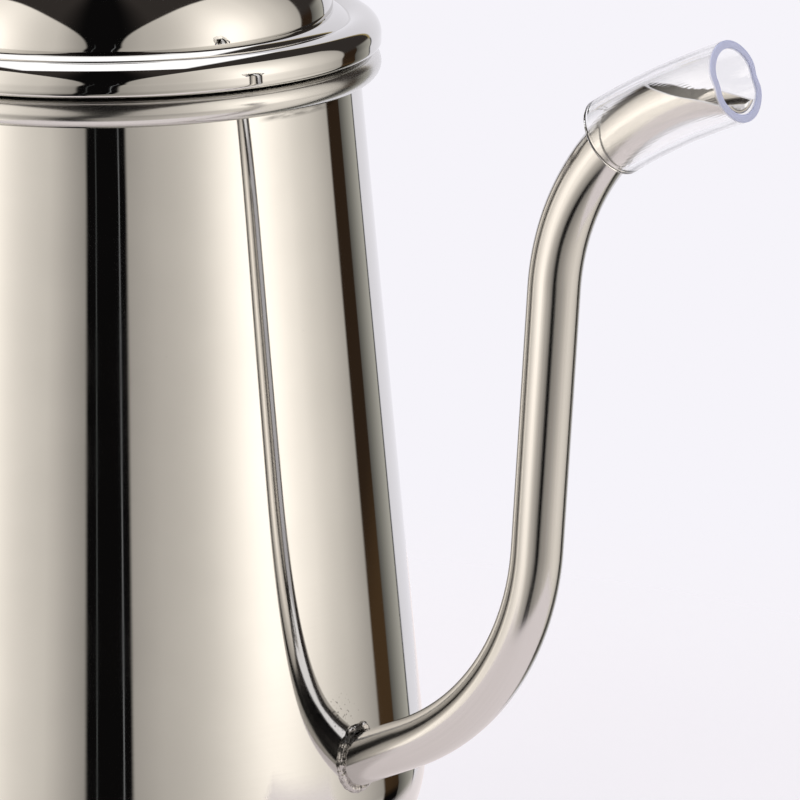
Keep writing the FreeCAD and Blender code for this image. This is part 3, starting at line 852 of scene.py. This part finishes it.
def press_end(mesh, centre, bend_r, headings, pinch):
    """Presses the sides of the free end in and marks its cut face."""
    first, last = headings
    marks = mesh.attributes.new("cut_end", "FLOAT", "POINT")
    for vertex in mesh.vertices:
        place = vertex.co / MM
        angle = angle_about(centre, (place.x, place.z))
        share = (first - angle + 90.0) / (first - last)
        free = max(0.0, (share - PINCH_START) / (1.0 - PINCH_START)) ** 2.0
        out = math.hypot(place.x - centre[0], place.z - centre[1]) - bend_r
        waist = math.exp(-(out / PINCH_WAIST) ** 2)
        vertex.co.y *= 1.0 - pinch * free * (PINCH_ROUND + (1.0 - PINCH_ROUND) * waist)
        marks.data[vertex.index].value = 1.0 if share > CUT_FACE_START else 0.0


class KETTLE_OT_sleeve(bpy.types.Operator):
    """Makes the clear sleeve on the tip, pressed in at its free end"""

    bl_idname = "kettle.sleeve"
    bl_label = "Sleeve"

    def execute(self, context):
        sizes = context.scene.kettle_sizes
        end, _ = spout_path(0.0)[-1]
        centre = polar(end, -SPOUT_TIP_BEND_R, SPOUT_TIP_ANGLE + 90.0)
        slip = sizes.sleeve_overhang / MM
        last = SPOUT_TIP_ANGLE + math.degrees((SLEEVE_SETBACK - slip) / SPOUT_TIP_BEND_R)
        first = last + math.degrees(SLEEVE_LEN / SPOUT_TIP_BEND_R)
        # The sleeve is stiffer than the bend is tight: the tube touches it below at both ends and above
        # at mid-length
        half_turn = math.radians(first - last) / 2.0
        half_bend = sizes.sleeve_bend / 2.0
        half_chord = SPOUT_TIP_BEND_R * math.sin(half_turn)
        bend_r = half_chord / math.sin(half_bend)
        slack = SPOUT_TIP_BEND_R * (1.0 - math.cos(half_turn)) - bend_r * (1.0 - math.cos(half_bend))
        middle = (first + last) / 2.0
        chord_out = SPOUT_TIP_BEND_R * math.cos(half_turn) + slack / 2.0
        centre = polar(centre, chord_out - bend_r * math.cos(half_bend), middle + 90.0)
        first = middle + math.degrees(half_bend)
        last = middle - math.degrees(half_bend)
        headings = [first + (last - first) * i / SLEEVE_STEPS for i in range(SLEEVE_STEPS + 1)]
        path = [(polar(centre, bend_r, heading + 90.0), heading) for heading in headings]
        inner = TUBE_R + slack / 2.0 + SLEEVE_PLAY
        line_points = pipe(path, inner + SLEEVE_WALL, inner, SLEEVE_LIP)
        pvc = made_of("PVC, extruded clear", clear_pvc)
        sleeve = carried("sleeve", line_points, circle(sizes.tube_steps), SIDE_AXIS, pvc, sharp=ALL_SMOOTH)
        press_end(sleeve.data, centre, bend_r, (first, last), sizes.sleeve_pinch)
        finish_piece(sleeve, "sleeve", "clear_pvc", "spout_sleeve")
        return {"FINISHED"}


class KETTLE_OT_fittings(bpy.types.Operator):
    """Gives the frame's own pieces their finish: knob, grip, brackets, base and fasteners"""

    bl_idname = "kettle.fittings"
    bl_label = "Knob, handle, base and fasteners"

    def execute(self, context):
        colours = finishes()
        resin = made_of("Phenolic resin, moulded black", black_phenolic)
        screws = made_of("Stainless steel, cold headed", plain_metal, colours.steel, 0.8, 0.16, 0.3)
        rolled = made_of("Aluminium, rolled plate", plain_metal, colours.aluminium, 0.7, 0.3, 0.45)
        brass = made_of("Brass, turned", plain_metal, colours.brass, 0.5, 0.16, 0.28)
        dressed = {
            polished_steel(): (
                "base_cap", "lid_skirt", "knob_collar", "handle_bracket_upper", "handle_bracket_lower",
                "handle_ferrule_upper", "handle_ferrule_lower",
            ),
            resin: ("knob", "handle_grip"),
            screws: ("knob_screw", "knob_washer", "handle_screw_upper", "handle_screw_lower"),
            rolled: ("base_core",),
            brass: ("knob_insert",),
        }
        for material, nodes in dressed.items():
            for node in nodes:
                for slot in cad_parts[node].material_slots:
                    slot.material = material
        return {"FINISHED"}


# Studio, drawn by direction in degrees: around to the camera's right, away to either side, rise upwards


def lay(add, under, over, *edges):
    """Lays one colour over another inside soft edges: a measure, where it starts, where it is full."""
    share = None
    for measure, start, full in edges:
        edge = add(RANGE, (measure, start, full), **SMOOTH)
        share = add(MATH, (share, edge), operation="MULTIPLY") if share else edge
    return add(MIX, {"Factor": share, 6: under, 7: over}, 2, **RGBA)


def faced(add, vector):
    """X, Y and Z of a vector, turned so that X points to the camera and Y to its right."""
    ahead = add("ShaderNodeVectorRotate", {"Vector": vector, "Angle": -FACING}, rotation_type="Z_AXIS")
    return add(SPLIT, (ahead,)).node.outputs


def panels(add, around, away, rise, strength):
    """Outline of the panels, which is arched, and their glow: bright cloth with a lamp behind each."""
    left = add(RANGE, (around, 0.0, -1.0), **SMOOTH)
    wide = add(RANGE, (away, 68.0, 127.5), clamp=False)
    wide = add(MATH, (wide, wide), operation="MULTIPLY")
    top = add(RANGE, {0: left, 3: 52.0, 4: 55.5})
    tall = add(MATH, (rise, top), operation="DIVIDE")
    tall = add(MATH, (tall, 0.0), operation="MAXIMUM")
    outline = add(MATH, (tall, tall, wide), operation="MULTIPLY_ADD")
    # The cloth is darker towards both sides of a panel: degrees away, and its level there
    turn = add(MATH, (away, 180.0), operation="DIVIDE")
    cloth = add("ShaderNodeValToRGB", (turn,))
    stops = ((8.0, 0.31), (20.0, 0.42), (45.0, 0.56), (85.0, 0.68), (100.0, 0.56), (116.0, 0.35))
    ramp = cloth.node.color_ramp
    while len(ramp.elements) < len(stops):
        ramp.elements.new(0.5)
    for element, (angle, level) in zip(ramp.elements, stops):
        element.position = angle / 180.0
        element.color = (level, level, level, 1.0)
    # The lamp's glow falls off round it as a bell curve, and on the right it is screened from below
    off = add(RANGE, (away, 64.0, 82.0), clamp=False)
    over = add(RANGE, (rise, 5.0, 75.0, 0.0, 2.0))
    drop = add(RANGE, (rise, -6.0, -11.0, 0.0, 0.7))
    drop = add(MATH, (drop, left), operation="SUBTRACT", use_clamp=True)
    over = add(MATH, (over, drop), operation="ADD")
    spread = add(MATH, (off, off), operation="MULTIPLY")
    spread = add(MATH, (over, over, spread), operation="MULTIPLY_ADD")
    lamp = add(MATH, (math.exp(-1.0), spread), operation="POWER")
    glow = add(MATH, (lamp, 0.6, cloth), operation="MULTIPLY_ADD")
    # The left panel is darker beside the gap, and both are darker near the floor
    uneven = add(RANGE, (away, 8.0, 24.0, -0.2, 0.22))
    uneven = add(MATH, (left, uneven, 1.0), operation="MULTIPLY_ADD")
    low = add(RANGE, (rise, -9.0, -18.0, strength, 0.62 * strength))
    # The floor lights the right panel's outer side from below
    outer = add(RANGE, (around, 65.0, 100.0, 0.0, 0.75))
    under = add(RANGE, (rise, -14.5, -19.0), **SMOOTH)
    lit = add(MATH, (outer, under, 1.0), operation="MULTIPLY_ADD")
    for level in (uneven, low, lit):
        glow = add(MATH, (glow, level), operation="MULTIPLY")
    return outline, glow


def dark_room(add, around, away, rise):
    """The unlit room: nearly black between the panels, brown at the sides, two thin bright stands."""
    black = tone("0F0E0E")
    dark = lay(add, black, tone("3B3633"), (away, 9.0, 30.0))
    wood = lay(add, tone("35281D"), tone("4E3B27"), (rise, -10.5, -12.5))
    dark = lay(add, dark, wood, (away, 60.0, 110.0), (rise, 8.0, -2.0))
    dark = lay(add, dark, black, (rise, -13.0, -18.0))
    for place, level in ((-4.4, "4A4C4B"), (5.3, "7C7D7E")):
        off = add(MATH, (around, place), operation="SUBTRACT")
        off = add(MATH, (off,), operation="ABSOLUTE")
        dark = lay(add, dark, tone(level), (off, 0.35, 0.1), (rise, 6.0, -4.0))
    return dark


def backdrop(add, away, rise, light, white):
    """A white sheet with a hem, whose sides lean back, and a dim strip of wall before it."""
    lean = add(RANGE, (rise, 5.0, 85.0, 0.0, 24.0))
    turn = add(MATH, (away, lean), operation="SUBTRACT")
    level = add(RANGE, (away, 126.0, 143.0, 0.10, 0.56))
    edge = add(RANGE, (away, 142.8, 141.4), **SMOOTH)
    level = add(MATH, (level, edge), operation="MULTIPLY")
    wall = add(VECTOR, {0: linear("FFFBEE"), "Scale": level}, operation="SCALE")
    light = lay(add, light, wall, (away, 126.0, 127.0), (rise, 8.0, 3.0))
    light = lay(add, light, tone("AC9A68"), (turn, 140.6, 142.0), (rise, 2.0, 6.0))
    return lay(add, light, white, (turn, 142.5, 144.5))


def card(add, part, rise, light):
    """The card overhead: a straight front edge and straight sides, at one height over the kettle."""
    height = add(MATH, (part["Z"], 0.01), operation="MAXIMUM")
    ahead = add(MATH, (part["X"], height), operation="DIVIDE")
    beside = add(MATH, (part["Y"], height), operation="DIVIDE")
    beside = add(MATH, (beside,), operation="ABSOLUTE")
    edges = ((ahead, 0.27, 0.23), (beside, 0.44, 0.38), (rise, 40.0, 46.0))
    return lay(add, light, tone("FFFEFF", 1.7), *edges)


def make_world(scene, studio):
    """Two warm panels either side of the camera, a white backdrop behind and a card overhead."""
    world = bpy.data.worlds.new("studio")
    world.use_nodes = True
    scene.world = world
    world.node_tree.nodes.clear()
    add = partial(add_node, world.node_tree)
    part = faced(add, add(COORDINATES, (), "Generated"))
    around = add(MATH, (part["Y"], part["X"]), operation="ARCTAN2")
    around = add(MATH, (around,), operation="DEGREES")
    rise = add(MATH, (part["Z"],), operation="ARCSINE")
    rise = add(MATH, (rise,), operation="DEGREES")
    # Below eye level the gap between the panels leans to one side
    lean = add(RANGE, (rise, -2.0, -20.0, 0.0, 5.8))
    foot = add(RANGE, (rise, -20.0, -32.0, 0.0, 11.0))
    lean = add(MATH, (lean, foot), operation="ADD")
    away = add(MATH, (around,), operation="ABSOLUTE")
    near = add(RANGE, (away, 70.0, 20.0), **SMOOTH)
    around = add(MATH, (lean, near, around), operation="MULTIPLY_ADD")
    away = add(MATH, (around,), operation="ABSOLUTE")
    white = tone(studio.white)
    outline, glow = panels(add, around, away, rise, studio.panel_strength)
    warm = add(VECTOR, {0: tuple(studio.panel), "Scale": glow}, operation="SCALE")
    light = dark_room(add, around, away, rise)
    light = lay(add, light, warm, (outline, 1.03, 0.97), (away, 116.2, 114.2))
    light = backdrop(add, away, rise, light, white)
    light = card(add, part, rise, light)
    # What shows straight through the sleeve is the backdrop, what mirrors in the tube is the studio
    ray = add("ShaderNodeLightPath").node.outputs
    straight = add(MATH, (ray["Glossy Depth"], 0.5), operation="LESS_THAN")
    seen = add(MATH, (ray["Is Transmission Ray"], straight, ray["Is Camera Ray"]), operation="MULTIPLY_ADD")
    light = add(MIX, {"Factor": seen, 6: light, 7: white}, 2, **RGBA)
    shade = add("ShaderNodeBackground", {"Color": light})
    add("ShaderNodeOutputWorld", {"Surface": shade})


def make_floor(scene, studio):
    """Pale disc that keeps the shadow and fades into the backdrop."""
    radius = studio.floor_radius
    corners = [(x * radius, y * radius, 0.0) for x, y in circle(FLOOR_STEPS)[:-1]]
    mesh = bpy.data.meshes.new("floor")
    mesh.from_pydata(corners, [], [range(FLOOR_STEPS)])
    floor = bpy.data.objects.new("floor", mesh)
    scene.collection.objects.link(floor)
    material, add = new_material("Studio floor, painted pale")
    ray = add("ShaderNodeLightPath").node.outputs
    mirrored = ray["Is Glossy Ray"]
    place = add(COORDINATES, (), "Object")
    # In the steel the floor ends as a table does, to the eye it fades away all round
    part = faced(add, place)
    half = studio.table_half_width
    front = TABLE_FRONT_WHOLE * studio.table_reach
    end = FADED * studio.table_reach
    ahead = add(MATH, (part["X"], studio.table_setback), operation="ADD")
    ahead = add(MATH, (ahead,), operation="ABSOLUTE")
    ahead = add(RANGE, (ahead, front, end, TABLE_WHOLE, FADED))
    # From 20 to 60 mm before the axis its right side gets twice as wide
    right = add(RANGE, (part["X"], 20.0 * MM, 60.0 * MM, half, 2.0 * half))
    right = add(MATH, (part["Y"], right), operation="DIVIDE")
    left = add(MATH, (part["Y"], -half), operation="DIVIDE")
    table = add(MATH, (right, left), operation="MAXIMUM")
    table = add(MATH, (table, ahead), operation="MAXIMUM")
    table = add(RANGE, (table, TABLE_WHOLE, FADED), **SMOOTH)
    out = add(VECTOR, (place,), "Value", operation="LENGTH")
    edge = add(RANGE, (out, FLOOR_WHOLE * radius, FADED * radius), **SMOOTH)
    fade = add(MIX, {"Factor": mirrored, 2: edge, 3: table}, data_type="FLOAT")
    diffuse = add("ShaderNodeBsdfDiffuse", {"Color": tone("AAA8AD")})
    # A glow lifts the floor to the backdrop's white for the eye, and is warmer in the steel
    seen = add(MATH, (ray["Is Camera Ray"], mirrored), operation="MAXIMUM")
    seen = add(MATH, (seen, ray["Is Transmission Ray"]), operation="MAXIMUM")
    lift = add(MIX, {"Factor": mirrored, 6: tone(studio.white, 0.67), 7: tone("FBF1F0", 0.72)}, 2, **RGBA)
    glow = add("ShaderNodeEmission", {"Color": lift, "Strength": seen})
    both = add("ShaderNodeAddShader", (diffuse, glow))
    clear = add("ShaderNodeBsdfTransparent")
    shown = add("ShaderNodeMixShader", (fade, both, clear))
    add("ShaderNodeOutputMaterial", {"Surface": shown})
    mesh.materials.append(material)


def make_camera(scene, studio):
    """Camera with the photograph's view."""
    data = bpy.data.cameras.new("camera")
    data.lens = studio.lens
    data.sensor_width = CAMERA_SENSOR
    data.clip_start = CAMERA_NEAR
    camera = bpy.data.objects.new("camera", data)
    scene.collection.objects.link(camera)
    camera.location = CAMERA_PLACE
    camera.rotation_mode = "QUATERNION"
    camera.rotation_quaternion = CAMERA_BACK.to_track_quat("Z", "Y")
    scene.camera = camera


class KETTLE_OT_stage(bpy.types.Operator):
    """Makes the camera, the studio round the kettle and the pale floor"""

    bl_idname = "kettle.stage"
    bl_label = "Camera, studio and floor"

    def execute(self, context):
        studio = context.scene.kettle_studio
        make_camera(context.scene, studio)
        make_world(context.scene, studio)
        make_floor(context.scene, studio)
        context.scene.view_settings.view_transform = "Standard"
        return {"FINISHED"}


class KETTLE_PT_panel(bpy.types.Panel):
    """Lists the sizes, the colours and the steps that make the kettle"""

    bl_idname = "KETTLE_PT_panel"
    bl_label = "Kettle"
    bl_space_type = "VIEW_3D"
    bl_region_type = "UI"
    bl_category = "Kettle"

    def draw(self, context):
        for group in GROUPS:
            box = self.layout.box()
            values = getattr(context.scene, group)
            for name in values.__annotations__:
                box.prop(values, name)
        for operator in OPERATORS:
            self.layout.operator(operator.bl_idname)


GROUPS = {"kettle_sizes": KettleSizes, "kettle_finishes": KettleFinishes, "kettle_studio": KettleStudio}
OPERATORS = (
    KETTLE_OT_body, KETTLE_OT_lid, KETTLE_OT_spout, KETTLE_OT_sleeve, KETTLE_OT_fittings, KETTLE_OT_stage,
)


def register():
    for group in (*GROUPS.values(), *OPERATORS, KETTLE_PT_panel):
        bpy.utils.register_class(group)
    for name, group in GROUPS.items():
        setattr(bpy.types.Scene, name, bpy.props.PointerProperty(type=group))


def unregister():
    for name in GROUPS:
        delattr(bpy.types.Scene, name)
    for group in (KETTLE_PT_panel, *reversed(OPERATORS), *GROUPS.values()):
        bpy.utils.unregister_class(group)


def main():
    register()
    bpy.ops.kettle.body()
    bpy.ops.kettle.lid()
    bpy.ops.kettle.spout()
    bpy.ops.kettle.sleeve()
    bpy.ops.kettle.fittings()
    bpy.ops.kettle.stage()


if __name__ == "__main__":
    main()
